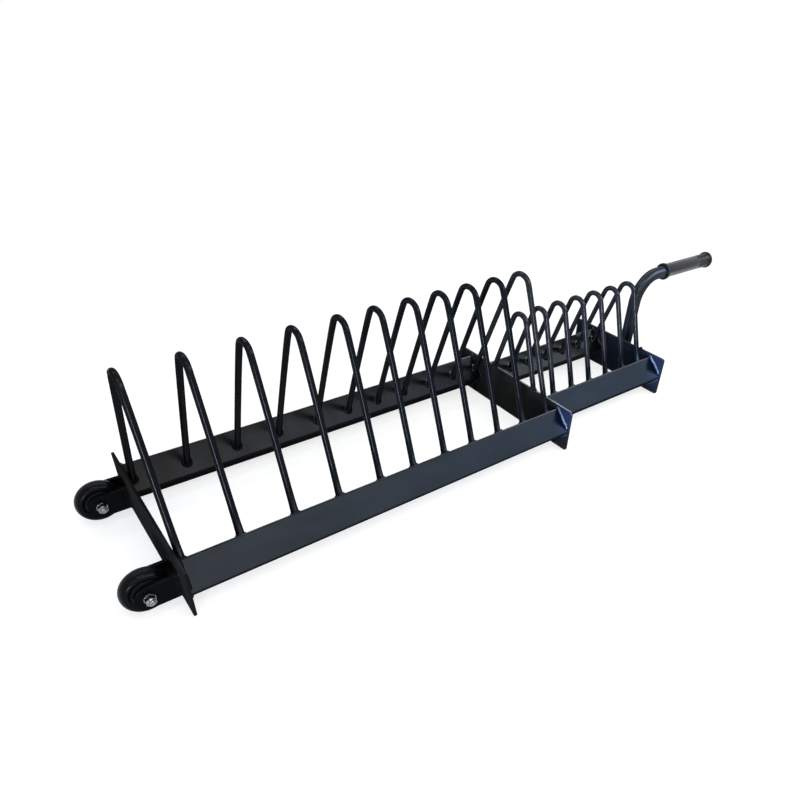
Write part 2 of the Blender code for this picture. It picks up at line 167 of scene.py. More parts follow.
# Patches of the painted highlights
TOP_HIGHLIGHT_PATCHES = (25.0, 3.0)
EDGE_HIGHLIGHT_PATCHES = (60.0, 3.0)
SCUFF_PATCHES = (160.0, 4.0)
SATIN_PATCHES = (45.0, 3.0)
PAINT_WAVES = (40.0, 1.0)
ORANGE_PEEL = (650.0, 1.0)
TYRE_PATCHES = (130.0, 4.0)
TYRE_GRAIN = (1100.0, 2.0)
CORE_PATCHES = (50.0, 3.0)
CORE_GRAIN = (1500.0, 1.0)
GRIP_PATCHES = (55.0, 3.0)
GRIP_GRAIN = (1300.0, 2.0)
PLATING_CLOUDS = (220.0, 3.0)
TURNING_MARKS = (500.0, 2.0)

# What noise mostly spans, and how much of it makes soft or hard patches
NOISE_SPAN = (0.3, 0.7)
SOFT_PATCHES = (0.35, 0.65)
HARD_PATCHES = (0.52, 0.62)

# How noise is squeezed, so that streaks run along the cart and marks run round the axles
ALONG_CART = (0.25, 1.0, 1.0)
ROUND_AXLE = (1.0, 6.0, 1.0)

# Colours of the paint, and of the light and shade painted into it
GRAZING_TINT = (0.5, 0.5, 0.5, 1.0)
NEUTRAL_DARK = (0.0078, 0.0077, 0.0079, 1.0)
NEUTRAL_LIGHT = (0.0094, 0.0093, 0.0095, 1.0)
# The paint under painted bluish light
BLUE_LIT_DARK = (0.0060, 0.0081, 0.0113, 1.0)
BLUE_LIT_LIGHT = (0.0072, 0.0097, 0.0137, 1.0)
# Painted shade on the forks
FORK_PAINTED_SHADE = (0.0042, 0.0046, 0.0052, 1.0)
GREY_DUST = (0.022, 0.0215, 0.021, 1.0)
# Dust under painted bluish light
BLUE_LIT_DUST = (0.016, 0.022, 0.036, 1.0)
# Painted sheen on the small hoops and the handle
HOOP_PAINTED_SHEEN = (0.050, 0.053, 0.063, 1.0)
HANDLE_PAINTED_SHEEN = (0.043, 0.052, 0.072, 1.0)
# Painted highlight on what faces up
TOP_PAINTED_HIGHLIGHT = (0.085, 0.088, 0.092, 1.0)
# Painted blue sheen, and a painted highlight on the weld seams
RAIL_BLUE_SHEEN = (0.009, 0.017, 0.045, 1.0)
PLATE_BLUE_SHEEN = (0.026, 0.043, 0.110, 1.0)
SEAM_PAINTED_HIGHLIGHT = (0.11, 0.15, 0.25, 1.0)
# Painted highlight on edges
EDGE_PAINTED_HIGHLIGHT = (0.050, 0.056, 0.066, 1.0)
# Painted highlight on the rails' crests, and a painted reflection on their inner faces
CREST_PAINTED_HIGHLIGHT = (0.15, 0.155, 0.165, 1.0)
RAIL_PAINTED_REFLECTION = (0.015, 0.0175, 0.0195, 1.0)
FOOT_SCUFFED = (0.17, 0.165, 0.16, 1.0)

# Looks of the other materials
TYRE_BLACK = (0.0014, 0.0016, 0.0022, 1.0)
TYRE_DUST = (0.005, 0.005, 0.006, 1.0)
TYRE_SPECULAR = 0.06
TYRE_ROUGHNESS = (0.24, 0.48)
TYRE_GRAIN_DEPTH = 0.00003
ROLLED_REACH = (0.006, 0.001)
MOST_ROLLED = 0.6
DUSTY_SPAN = (0.0, 0.7)
CORE_DARK = (0.004, 0.004, 0.005, 1.0)
CORE_LIGHT = (0.009, 0.009, 0.010, 1.0)
CORE_SPECULAR = 0.10
CORE_ROUGHNESS = (0.40, 0.52)
CORE_GRAIN_DEPTH = 0.00002
GRIP_DARK = (0.003, 0.004, 0.006, 1.0)
GRIP_LIGHT = (0.008, 0.010, 0.014, 1.0)
# Painted highlights on the grip's edges
GRIP_EDGE_HIGHLIGHT = (0.150, 0.156, 0.170, 1.0)
GRIP_SPECULAR = 0.15
GRIP_ROUGHNESS = (0.16, 0.26)
GRIP_EDGE_RADIUS = 0.0010
GRIP_GRAIN_DEPTH = 0.00002
ZINC_DARK = (0.07, 0.07, 0.08, 1.0)
ZINC_LIGHT = (0.34, 0.35, 0.36, 1.0)
ZINC_ROUGHNESS = (0.14, 0.30)
BEARING_DARK = (0.40, 0.40, 0.41, 1.0)
BEARING_LIGHT = (0.58, 0.58, 0.59, 1.0)
BEARING_ROUGHNESS = (0.22, 0.34)
TURNING_MARK_DEPTH = 0.00003

# Camera, read from the photograph
CAMERA_PLACE = (-0.70480, -0.80549, 0.68974)
CAMERA_HEADING = 39.8825
CAMERA_TILT = 36.2730
CAMERA_ROLL = 3.6276
CAMERA_LENS = 29.4795
CAMERA_SHIFT = (-0.06939, 0.08324)
SENSOR_WIDTH = 36.0

# Studio
FLOOR_RADIUS = 12.0
FLOOR_SIDES = 96
FLOOR_GREY = 0.80
FLOOR_ROUGHNESS = 0.9
FLOOR_SHADE = 0.38
FLOOR_GLOW = 0.72
SHADOW_REACH = 0.9
WHITE_REACH = 1.8
ROOM_LIGHT = 0.06
ROOM_COLOUR = (0.95, 0.97, 1.0, 1.0)
WHITE = (1.0, 1.0, 1.0, 1.0)

# Where the lamps aim, and each lamp: name, place, way it runs along, width, height, radiance, colour
AIM = (0.0, 0.0, 0.08)
LAMPS = (
    ("key", (1.32, -1.92, 1.98), (0.909, 0.312, -0.275), 3.9, 0.7, 6.8, (0.93, 0.98, 1.0)),
    ("upper", (1.31, -1.50, 2.41), (0.909, 0.312, -0.275), 3.9, 0.5, 6.5, (1.0, 0.97, 0.92)),
    ("back", (0.4, 1.50, 2.35), (1.0, 0.0, 0.0), 4.2, 0.6, 4.2, (0.95, 0.98, 1.0)),
    ("front", (-1.45, -1.60, 1.75), (0.707, -0.707, 0.0), 3.0, 0.5, 3.4, (0.95, 0.98, 1.0)),
    ("side", (-2.20, -2.20, 0.32), (0.707, -0.707, 0.0), 0.3, 0.6, 115.0, (0.76, 0.83, 1.0)),
    ("top", (-0.60, -0.50, 2.10), (1.0, 0.0, 0.0), 1.0, 0.35, 11.0, (0.75, 0.86, 1.0)),
)


def link(obj):
    bpy.context.scene.collection.objects.link(obj)
    return obj


def piece_from(bm, name, finish, body):
    """Makes a piece of the dressed part that rides on a body and takes its finish from a slot."""
    bmesh.ops.recalc_face_normals(bm, faces=bm.faces)
    mesh = bpy.data.meshes.new(name)
    bm.to_mesh(mesh)
    bm.free()
    mesh.materials.append(finish)
    mesh.shade_smooth()
    mesh.set_sharp_from_angle(angle=SHARP_ANGLE)
    piece = link(bpy.data.objects.new(name, mesh))
    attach(piece, body)
    return piece


def read_node(node, whole_faces):
    """A CAD node's mesh with its vertices merged and its triangles joined into larger faces."""
    bm = bmesh.new()
    bm.from_mesh(NODES[node].data)
    bmesh.ops.remove_doubles(bm, verts=bm.verts[:], dist=MERGE)
    if whole_faces:
        bmesh.ops.dissolve_limit(
            bm, angle_limit=FLAT_ANGLE, verts=bm.verts[:], edges=bm.edges[:]
        )
    else:
        bmesh.ops.join_triangles(
            bm,
            faces=bm.faces[:],
            angle_face_threshold=FLAT_ANGLE,
            angle_shape_threshold=math.pi,
        )
    return bm


def replace_node(node, bm, finish):
    piece = piece_from(bm, f"{node}_finished", finish, BODY_OF[node])
    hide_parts(node)
    return piece


def add_bevel(piece, width, segments=BEVEL_SEGMENTS):
    bevel = piece.modifiers.new("edges", "BEVEL")
    bevel.width = width
    bevel.segments = segments
    bevel.limit_method = "ANGLE"
    bevel.angle_limit = SHARP_ANGLE
    bevel.harden_normals = True


def add_subdivision(piece):
    smooth = piece.modifiers.new("smooth", "SUBSURF")
    smooth.levels = SMOOTH_LEVELS
    smooth.render_levels = SMOOTH_LEVELS


def add_flat_normals(piece):
    """Keeps wide flat faces flat beside their rounded corners."""
    weighted = piece.modifiers.new("flat faces", "WEIGHTED_NORMAL")
    weighted.keep_sharp = True
    weighted.weight = LARGE_FACES_LEAD


def crease_corners(bm):
    """Keeps corners through a subdivision, such as the rims at the end of a tube."""
    crease = bm.edges.layers.float.new("crease_edge")
    for edge in bm.edges:
        if len(edge.link_faces) == 2 and edge.calc_face_angle() > SHARP_ANGLE:
            edge[crease] = 1.0


def swell(bm, radius, sides):
    """Makes up for what a subdivision takes off a round section with this many sides."""
    kept = (4 + 2 * math.cos(2 * math.pi / sides)) / 6
    bm.normal_update()
    for vert in bm.verts:
        vert.co += vert.normal * radius * (1 / kept - 1)


def bead_section():
    """A weld's section between two surfaces, as shares of its size along each of them."""
    sink = -BEAD_SINK / RAIL_BEAD
    points = [(sink, sink), (1.0, sink)]
    for step in range(BEAD_ARC_STEPS + 1):
        angle = math.pi / 2 * step / BEAD_ARC_STEPS
        reach = (1 + BEAD_BULGE * math.sin(2 * angle)) / (math.cos(angle) + math.sin(angle))
        points.append((reach * math.cos(angle), reach * math.sin(angle)))
    points.append((sink, 1.0))
    return points


def ripple(distance, pitch):
    """One scallop for each place where the welder paused, from 0 to 1."""
    return 1 - abs(math.sin(math.pi * distance / pitch))


def weld_bead(name, path, size, closed, body, paint):
    """Lays a weld along a corner. Each path point is (point, way on one surface, way on the other)."""
    section = bead_section()
    spans = [(b[0] - a[0]).length for a, b in zip(path, path[1:])]
    travelled = [sum(spans[:n]) for n in range(len(path))]
    total = travelled[-1]
    if closed:
        total += (path[0][0] - path[-1][0]).length
    pitch = total / max(1, round(total / RIPPLE_PITCH))
    bm = bmesh.new()
    rows = []
    for (point, first, second), distance in zip(path, travelled):
        scale = size * (1 - RIPPLE_DEPTH * ripple(distance, pitch))
        if not closed:
            from_end = min(distance, total - distance)
            scale *= min(1.0, BEAD_END + (1 - BEAD_END) * math.sqrt(from_end / BEAD_TAPER))
        seed = point * WOBBLE_SCALE
        wide = scale * (1 + BEAD_WOBBLE * noise.noise(seed))
        high = scale * (1 + BEAD_WOBBLE * noise.noise(seed.yzx))
        rows.append([
            bm.verts.new(point + first * (u * wide) + second * (v * high)) for u, v in section
        ])
    following = rows[1:] + rows[:1] if closed else rows[1:]
    for near, far in zip(rows, following):
        for step, vert in enumerate(near):
            ahead = (step + 1) % len(near)
            bm.faces.new((vert, near[ahead], far[ahead], far[step]))
    if not closed:
        bm.faces.new(rows[0])
        bm.faces.new(rows[-1])
    return piece_from(bm, name, paint, body)


def leg_end(bm, side, normal):
    """The point where a hoop's leg meets a plane on one side of the cart, and the leg's way up."""
    verts = [vert.co for vert in bm.verts if vert.co.y * side > 0]
    depth = min(co.dot(normal) for co in verts)
    ring = [co for co in verts if co.dot(normal) < depth + 10 * MERGE]
    foot = sum(ring, Vector()) / len(ring)
    edges = [edge for edge in bm.edges if min(vert.co.y * side for vert in edge.verts) > 0]
    longest = max(edges, key=lambda edge: edge.calc_length())
    low, high = sorted((vert.co.copy() for vert in longest.verts), key=lambda co: co.z)
    return foot, (high - low).normalized()


def foot_path(foot, way, normal, droop):
    """A ring round a rod that meets a plane aslant.

    droop is how far the seam turns down at the rod's front and back, where the rod stands on the
    narrow edge of a plate.
    """
    steps = round(2 * math.pi * ROD_RADIUS / BEAD_STEP)
    across = Vector((1.0, 0.0, 0.0))
    aside = way.cross(across)
    path = []
    for step in range(steps):
        angle = 2 * math.pi * step / steps
        ray = math.cos(angle) * across + math.sin(angle) * aside
        slide = -ROD_RADIUS * ray.dot(normal) / way.dot(normal)
        out = (ray - normal * ray.dot(normal)).normalized()
        out -= droop * abs(ray.x) * (normal + ray.x * across)
        path.append((foot + ROD_RADIUS * ray + slide * way, out, way))
    return path


def rounded_path(corners, radius):
    """Points spaced along a rounded outline of square corners, with the way out at each."""
    path = []
    for n, corner in enumerate(corners):
        following = corners[(n + 1) % len(corners)]
        back = (corners[n - 1] - corner).normalized()
        ahead = (following - corner).normalized()
        centre = corner + (back + ahead) * radius
        for step in range(CORNER_STEPS + 1):
            angle = math.pi / 2 * step / CORNER_STEPS
            out = -ahead * math.cos(angle) - back * math.sin(angle)
            path.append((centre + out * radius, out))
        start = path[-1][0]
        end = following - ahead * radius
        steps = int((end - start).length / BEAD_STEP)
        path += [(start.lerp(end, step / steps), -back) for step in range(1, steps)]
    return path


def build_plates(paint):
    for node in ("wheel_end_plate", "middle_plate", "handle_end_plate"):
        plate = replace_node(node, read_node(node, whole_faces=True), paint)
        add_bevel(plate, PLATE_EDGE)


def build_rails(paint):
    for section in ("wide", "narrow"):
        for side in ("left", "right"):
            node = f"{section}_rail_{side}"
            add_flat_normals(replace_node(node, read_node(node, whole_faces=False), paint))
            for end in (0, 1):
                weld_rail(node, end, paint)


def weld_rail(node, end, paint):
    """The seam round one end of a rail, open at the outer corner, which the plate just covers."""
    low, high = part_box(node)
    x = (low.x, high.x)[end]
    into_rail = Vector((1.0 - 2.0 * end, 0.0, 0.0))
    middle_y, middle_z = (low.y + high.y) / 2, (low.z + high.z) / 2
    reach = (high.z - low.z) / 2 + TUBE_CORNER * (math.sqrt(2) - 1)
    outward = math.copysign(1.0, middle_y)
    corners = [
        Vector((x, middle_y + outward * reach * math.cos(angle), middle_z + reach * math.sin(angle)))
        for angle in (0.0, math.pi / 2, math.pi, 3 * math.pi / 2)
    ]
    path = [
        (point, out, into_rail)
        for point, out in rounded_path(corners, TUBE_CORNER)
        if (point - corners[0]).length > OUTER_CORNER_GAP
    ]
    weld_bead(f"{node}_weld_{end + 1}", path, RAIL_BEAD, False, BODY_OF[node], paint)


def build_hoops(paint):
    hoops = [node for node in NODES if "_hoop_" in node]
    plate_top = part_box("middle_plate")[1].z
    for node in sorted(hoops):
        bm = read_node(node, whole_faces=True)
        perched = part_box(node)[0].z > plate_top
        for name, side in (("left", 1), ("right", -1)):
            normal = Vector((0.0, 0.0, 1.0)) if perched else Vector((0.0, -side, 1.0)).normalized()
            foot, way = leg_end(bm, side, normal)
            path = foot_path(foot, way, normal, PERCH_DROOP if perched else 0.0)
            size = PERCH_BEAD if perched else FOOT_BEAD
            weld_bead(f"{node}_weld_{name}", path, size, True, BODY_OF[node], paint)
        crease_corners(bm)
        swell(bm, ROD_RADIUS, ROD_SIDES)
        add_subdivision(replace_node(node, bm, paint))


def build_forks(paint):
    for side in ("left", "right"):
        for end in ("a", "b"):
            node = f"fork_plate_{side}_{end}"
            fork = replace_node(node, read_node(node, whole_faces=False), paint)
            add_bevel(fork, FORK_EDGE)
            low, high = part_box(node)
            corners = [
                Vector((high.x, y, z))
                for y, z in ((low.y, low.z), (high.y, low.z), (high.y, high.z), (low.y, high.z))
            ]
            back = Vector((-1.0, 0.0, 0.0))
            path = [(point, out, back) for point, out in rounded_path(corners, FORK_EDGE)]
            weld_bead(f"{node}_weld", path, FORK_BEAD, True, BODY_OF[node], paint)


def build_handle(paint, rubber):
    bm = read_node("handle_tube", whole_faces=False)
    crease_corners(bm)
    swell(bm, HANDLE_RADIUS, HANDLE_SIDES)
    add_subdivision(replace_node("handle_tube", bm, paint))
    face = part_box("handle_end_plate")[1]
    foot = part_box("handle_tube")[0].z
    steps = int((face.z - foot - 2 * HANDLE_SEAM_END) / BEAD_STEP)
    for name, side in (("left", 1), ("right", -1)):
        on_plate = Vector((0.0, side, 0.0))
        on_tube = Vector((HANDLE_SEAM_BACK, HANDLE_SEAM_ASIDE * side, 0.0))
        path = []
        for step in range(steps + 1):
            place = Vector((face.x, side * HANDLE_SEAM_Y, foot + HANDLE_SEAM_END + step * BEAD_STEP))
            path.append((place, on_plate, on_tube))
        weld_bead(f"handle_weld_{name}", path, HANDLE_BEAD, False, "chassis", paint)
    grip = replace_node("handle_grip", read_node("handle_grip", whole_faces=True), rubber)
    add_bevel(grip, SMALL_EDGE, SMALL_BEVEL_SEGMENTS)


def build_wheels(finishes):
    for side in ("left", "right"):
        node = f"wheel_{side}_tyre"
        bm = read_node(node, whole_faces=True)
        crease_corners(bm)
        add_subdivision(replace_node(node, bm, finishes["tyre_rubber"]))
        fastened = [f"axle_{piece}_{side}" for piece in ("bolt", "nut", "washer")]
        for name in [f"wheel_{side}_core", *fastened]:
            bm = read_node(name, whole_faces=name.startswith("axle_bolt"))
            add_bevel(replace_node(name, bm, finishes[SLOT_OF[name]]), SMALL_EDGE, SMALL_BEVEL_SEGMENTS)


def build_lump(paint):
    """The drop of weld that stands on the handle-end plate's top edge."""
    low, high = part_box("handle_end_plate")
    centre = Vector(((low.x + high.x) / 2, LUMP_Y, high.z))
    bm = bmesh.new()
    bmesh.ops.create_icosphere(bm, subdivisions=LUMP_DETAIL, radius=LUMP_RADIUS)
    for vert in bm.verts:
        vert.co *= 1 + LUMP_ROUGHNESS * noise.noise(vert.co * LUMP_SCALE)
        vert.co.x *= LUMP_SQUASH
        vert.co += centre
    piece_from(bm, "plate_weld_drop", paint, "chassis")


def join(tree, socket, value):
    """Feeds a socket from another socket or sets its value."""
    if isinstance(value, bpy.types.NodeSocket):
        tree.links.new(value, socket)
    else:
        socket.default_value = value


def new_finish(name, metallic=0.0, specular=0.5):
    finish = bpy.data.materials.new(name)
    finish.use_nodes = True
    tree = finish.node_tree
    shader = tree.nodes["Principled BSDF"]
    shader.inputs["Metallic"].default_value = metallic
    shader.inputs["Specular IOR Level"].default_value = specular
    place = tree.nodes.new("ShaderNodeTexCoord").outputs["Object"]
    return finish, tree, shader, place


def speckle(tree, place, scale, detail):
    """Noise from 0 to 1, with this many patches to the metre."""
    made = tree.nodes.new("ShaderNodeTexNoise")
    join(tree, made.inputs["Vector"], place)
    made.inputs["Scale"].default_value = scale
    made.inputs["Detail"].default_value = detail
    return made.outputs[0]


def remap(tree, value, from_low, from_high, to_low, to_high):
    made = tree.nodes.new("ShaderNodeMapRange")
    for socket, given in zip(made.inputs, (value, from_low, from_high, to_low, to_high)):
        join(tree, socket, given)
    return made.outputs[0]


def ramp(tree, value, none, full):
    """0 where a value is at or before none, rising evenly to 1 at full."""
    return remap(tree, value, none, full, 0.0, 1.0)


def calculate(tree, operation, first, second=0.0):
    made = tree.nodes.new("ShaderNodeMath")
    made.operation = operation
    join(tree, made.inputs[0], first)
    join(tree, made.inputs[1], second)
    return made.outputs[0]


def multiply(tree, product, *others):
    for other in others:
        product = calculate(tree, "MULTIPLY", product, other)
    return product


def mix_colours(tree, share, first, second):
    made = tree.nodes.new("ShaderNodeMix")
    made.data_type = "RGBA"
    join(tree, made.inputs[0], share)
    join(tree, made.inputs[6], first)
    join(tree, made.inputs[7], second)
    return made.outputs[2]


def split(tree, vector):
    made = tree.nodes.new("ShaderNodeSeparateXYZ")
    join(tree, made.inputs[0], vector)
    return made.outputs


def stretch(tree, place, by):
    made = tree.nodes.new("ShaderNodeVectorMath")
    made.operation = "MULTIPLY"
    join(tree, made.inputs[0], place)
    join(tree, made.inputs[1], by)
    return made.outputs[0]


def add_bump(tree, shader, *layers):
    """Stacks bumps on a shader, each (height from 0 to 1, its depth in metres)."""
    normal = None
    for height, depth in layers:
        made = tree.nodes.new("ShaderNodeBump")
        made.inputs["Distance"].default_value = depth
        join(tree, made.inputs["Height"], height)
        if normal:
            join(tree, made.inputs["Normal"], normal)
        normal = made.outputs[0]
    join(tree, shader.inputs["Normal"], normal)


def edge_share(tree, radius):
    """1 on edges that turn within this radius, and 0 on flat faces."""
    soft = tree.nodes.new("ShaderNodeBevel")
    soft.samples = EDGE_SAMPLES
    soft.inputs["Radius"].default_value = radius
    geometry = tree.nodes.new("ShaderNodeNewGeometry")
    dot = tree.nodes.new("ShaderNodeVectorMath")
    dot.operation = "DOT_PRODUCT"
    tree.links.new(soft.outputs[0], dot.inputs[0])
    tree.links.new(geometry.outputs["Normal"], dot.inputs[1])
    return ramp(tree, dot.outputs["Value"], *EDGE_TURN)


def blue_sheen_near_weld(tree, place, plate):
    """1 at the near end of a plate, where a rail is welded on, fading to 0 round it: the reach of a
    painted blue sheen.
    """
    low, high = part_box(plate)
    made = tree.nodes.new("ShaderNodeVectorMath")
    made.operation = "DISTANCE"
    join(tree, made.inputs[0], place)
    join(tree, made.inputs[1], (low.x, low.y + BLUE_SHEEN_INSET, high.z - BLUE_SHEEN_DROP))
    reach = BLUE_SHEEN_REACH[plate]
    return ramp(tree, made.outputs["Value"], reach, BLUE_SHEEN_CORE * reach)


def black_with_painted_light(tree, place, at):
    """Black, neutral at the left and the wheels, with painted bluish light to the right and the handle
    and painted shade on the forks.
    """
    skewed = calculate(tree, "SUBTRACT", at["X"], calculate(tree, "MULTIPLY", at["Y"], BLUE_LIGHT_SKEW))
    bluish_light_share = ramp(tree, skewed, *BLUE_LIGHT_SPAN)
    dark = mix_colours(tree, bluish_light_share, NEUTRAL_DARK, BLUE_LIT_DARK)
    light = mix_colours(tree, bluish_light_share, NEUTRAL_LIGHT, BLUE_LIT_LIGHT)
    patches = ramp(tree, speckle(tree, place, *TONE_PATCHES), *NOISE_SPAN)
    colour = mix_colours(tree, patches, dark, light)
    # Painted shade on the forks
    return mix_colours(tree, ramp(tree, at["X"], *FORK_SHADE_X), colour, FORK_PAINTED_SHADE)


def add_dust_and_blue_light(tree, colour, place, at, to_wheels):
    """Dust on what faces the wheels, turning to painted bluish light towards the handle."""
    patches = speckle(tree, place, *DUST_PATCHES)
    patches = remap(tree, patches, *SOFT_PATCHES, LEAST_DUST, 1.0)
    dust = mix_colours(tree, ramp(tree, at["X"], *BLUE_LIT_DUST_X), GREY_DUST, BLUE_LIT_DUST)
    return mix_colours(tree, multiply(tree, to_wheels, patches), colour, dust)


def add_painted_sheen(tree, colour, at):
    """Painted sheen above the rails, faint on the small hoops and full on the handle."""
    above_rails = ramp(tree, at["Z"], *SHEEN_Z)
    hoops = remap(tree, at["X"], *HOOP_SHEEN_X, 0.0, HOOP_SHEEN_SHARE)
    handle = ramp(tree, at["X"], *HANDLE_SHEEN_X)
    colour = mix_colours(tree, multiply(tree, hoops, above_rails), colour, HOOP_PAINTED_SHEEN)
    return mix_colours(tree, multiply(tree, handle, above_rails), colour, HANDLE_PAINTED_SHEEN)


def add_top_highlights(tree, colour, place, facing, at, highlight_reach):
    """Painted highlights on what faces up, mostly low down and only a little on top of the hoops."""
    upward = ramp(tree, facing["Z"], *FACING_UP)
    by_height = remap(tree, at["Z"], *TOP_HIGHLIGHT_Z, HOOP_TOP_HIGHLIGHT, 1.0)
    patches = speckle(tree, place, *TOP_HIGHLIGHT_PATCHES)
    patches = remap(tree, patches, *SOFT_PATCHES, LEAST_TOP_HIGHLIGHT, 1.0)
    return mix_colours(tree, multiply(tree, upward, by_height, patches, highlight_reach), colour, TOP_PAINTED_HIGHLIGHT)


def add_blue_sheen(tree, colour, place, facing, to_wheels):
    """Painted blue sheen round the welds at the near ends of two plates, with painted highlights on the
    seams themselves.
    """
    near = calculate(tree, "MAXIMUM", *(blue_sheen_near_weld(tree, place, plate) for plate in BLUE_SHEEN_REACH))
    aslant = calculate(tree, "ABSOLUTE", calculate(tree, "ADD", facing["X"], SEAM_SLANT))
    on_seam = ramp(tree, aslant, *SEAM_SPREAD)
    on_rail = multiply(tree, calculate(tree, "POWER", near, RAIL_BLUE_SHEEN_FALL), RAIL_BLUE_SHEEN_SHARE)
    colour = mix_colours(tree, on_rail, colour, RAIL_BLUE_SHEEN)
    colour = mix_colours(tree, multiply(tree, near, to_wheels), colour, PLATE_BLUE_SHEEN)
    return mix_colours(tree, multiply(tree, near, on_seam), colour, SEAM_PAINTED_HIGHLIGHT)


def add_edge_highlights(tree, colour, place, highlight_reach):
    # Painted highlights on edges, held back at the wheel end
    patches = speckle(tree, place, *EDGE_HIGHLIGHT_PATCHES)
    edge_light_share = remap(tree, highlight_reach, 0.0, 1.0, WHEEL_END_EDGE_HIGHLIGHT, 1.0)
    painted_edge_light = multiply(tree, edge_share(tree, EDGE_RADIUS), patches, edge_light_share)
    return mix_colours(tree, painted_edge_light, colour, EDGE_PAINTED_HIGHLIGHT)


def add_rail_highlights(tree, colour, facing, at):
    """Painted highlights on the rails' crests, and a painted reflection on the rails' inner faces
    towards the handle.

    A face points inward where its normal and its place have opposite signs along y.
    """
    upward = ramp(tree, facing["Z"], *FACING_UP_CREST)
    below_hoops = ramp(tree, at["Z"], *CREST_Z)
    crest = multiply(tree, upward, below_hoops, ramp(tree, at["X"], *CREST_X))
    colour = mix_colours(tree, crest, colour, CREST_PAINTED_HIGHLIGHT)
    inward = ramp(tree, multiply(tree, facing["Y"], at["Y"]), *FACING_INWARD)
    rail_reflection = multiply(tree, inward, ramp(tree, at["X"], *RAIL_REFLECTION_X), ramp(tree, at["Z"], *RAIL_REFLECTION_Z))
    return mix_colours(tree, rail_reflection, colour, RAIL_PAINTED_REFLECTION)


def add_scuffs(tree, colour, place, at):
    """Grey scuffs on the edges that the cart stands on."""
    patches = speckle(tree, place, *SCUFF_PATCHES)
    patches = remap(tree, patches, *HARD_PATCHES, 0.0, MOST_SCUFF)
    scuffed = multiply(tree, ramp(tree, at["Z"], *SCUFFED_Z), patches)
    return mix_colours(tree, scuffed, colour, FOOT_SCUFFED)


def powder_coat():
    """Satin black paint with orange peel, dust and scuffs, and with painted highlights, sheen, bluish
    light, a painted reflection and painted shade in places.

    It reflects as a dark metal does, with little glare at low angles. It is dull underneath, where
    the spray hardly reaches, and on what faces the wheels, which takes up dust.
    """
    finish, tree, shader, place = new_finish("black_powder_coat", specular=0.0)
    shader.inputs["Specular Tint"].default_value = GRAZING_TINT
    facing = split(tree, tree.nodes.new("ShaderNodeTexCoord").outputs["Normal"])
    at = split(tree, place)
    to_wheels = ramp(tree, facing["X"], *FACING_WHEELS)
    # How far the painted highlights reach: little at the wheel end
    highlight_reach = ramp(tree, at["X"], *HIGHLIGHT_REACH_X)
    colour = black_with_painted_light(tree, place, at)
    colour = add_dust_and_blue_light(tree, colour, place, at, to_wheels)
    colour = add_painted_sheen(tree, colour, at)
    colour = add_top_highlights(tree, colour, place, facing, at, highlight_reach)
    colour = add_blue_sheen(tree, colour, place, facing, to_wheels)
    colour = add_edge_highlights(tree, colour, place, highlight_reach)
    colour = add_rail_highlights(tree, colour, facing, at)
    colour = add_scuffs(tree, colour, place, at)
    join(tree, shader.inputs["Base Color"], colour)

    dull = calculate(tree, "MAXIMUM", ramp(tree, facing["Z"], *FACING_DOWN), to_wheels)
    join(tree, shader.inputs["Metallic"], remap(tree, dull, 0.0, 1.0, PAINT_METALLIC, 0.0))
    streaks = speckle(tree, stretch(tree, place, ALONG_CART), *SATIN_PATCHES)
    satin = remap(tree, streaks, *NOISE_SPAN, *SATIN_ROUGHNESS)
    rougher = multiply(tree, dull, DULL_ROUGHNESS)
    join(tree, shader.inputs["Roughness"], calculate(tree, "ADD", satin, rougher))
    waves = speckle(tree, place, *PAINT_WAVES)
    peel = speckle(tree, place, *ORANGE_PEEL)
    add_bump(tree, shader, (waves, WAVE_DEPTH), (peel, PEEL_DEPTH))
    return finish


def tyre_rubber():
    """Smooth black rubber, greyer where it rolls."""
    finish, tree, shader, place = new_finish("tyre_rubber", specular=TYRE_SPECULAR)
    low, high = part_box("wheel_left_tyre")
    wheel_y = (low.y + high.y) / 2
    from_middle = calculate(tree, "ABSOLUTE", split(tree, place)["Y"])
    from_middle = calculate(tree, "SUBTRACT", from_middle, wheel_y)
    from_middle = calculate(tree, "ABSOLUTE", from_middle)
    rolled = remap(tree, from_middle, *ROLLED_REACH, 0.0, MOST_ROLLED)
    dusty = multiply(tree, rolled, speckle(tree, place, *TYRE_PATCHES))
    colour = mix_colours(tree, dusty, TYRE_BLACK, TYRE_DUST)
    join(tree, shader.inputs["Base Color"], colour)
    join(tree, shader.inputs["Roughness"], remap(tree, dusty, *DUSTY_SPAN, *TYRE_ROUGHNESS))
    add_bump(tree, shader, (speckle(tree, place, *TYRE_GRAIN), TYRE_GRAIN_DEPTH))
    return finish


def core_plastic():
    """Dark moulded plastic with a faint grain."""
    finish, tree, shader, place = new_finish("core_plastic", specular=CORE_SPECULAR)
    tone = speckle(tree, place, *CORE_PATCHES)
    colour = mix_colours(tree, tone, CORE_DARK, CORE_LIGHT)
    join(tree, shader.inputs["Base Color"], colour)
    join(tree, shader.inputs["Roughness"], remap(tree, tone, *NOISE_SPAN, *CORE_ROUGHNESS))
    add_bump(tree, shader, (speckle(tree, place, *CORE_GRAIN), CORE_GRAIN_DEPTH))
    return finish


def grip_rubber():
    """Moulded rubber with a fine grain, satin from hands, and painted highlights on its edges."""
    finish, tree, shader, place = new_finish("grip_rubber", specular=GRIP_SPECULAR)
    tone = speckle(tree, place, *GRIP_PATCHES)
    colour = mix_colours(tree, tone, GRIP_DARK, GRIP_LIGHT)
    painted_edge_light = multiply(tree, edge_share(tree, GRIP_EDGE_RADIUS), tone)
    colour = mix_colours(tree, painted_edge_light, colour, GRIP_EDGE_HIGHLIGHT)
    join(tree, shader.inputs["Base Color"], colour)
    join(tree, shader.inputs["Roughness"], remap(tree, tone, *NOISE_SPAN, *GRIP_ROUGHNESS))
    add_bump(tree, shader, (speckle(tree, place, *GRIP_GRAIN), GRIP_GRAIN_DEPTH))
    return finish


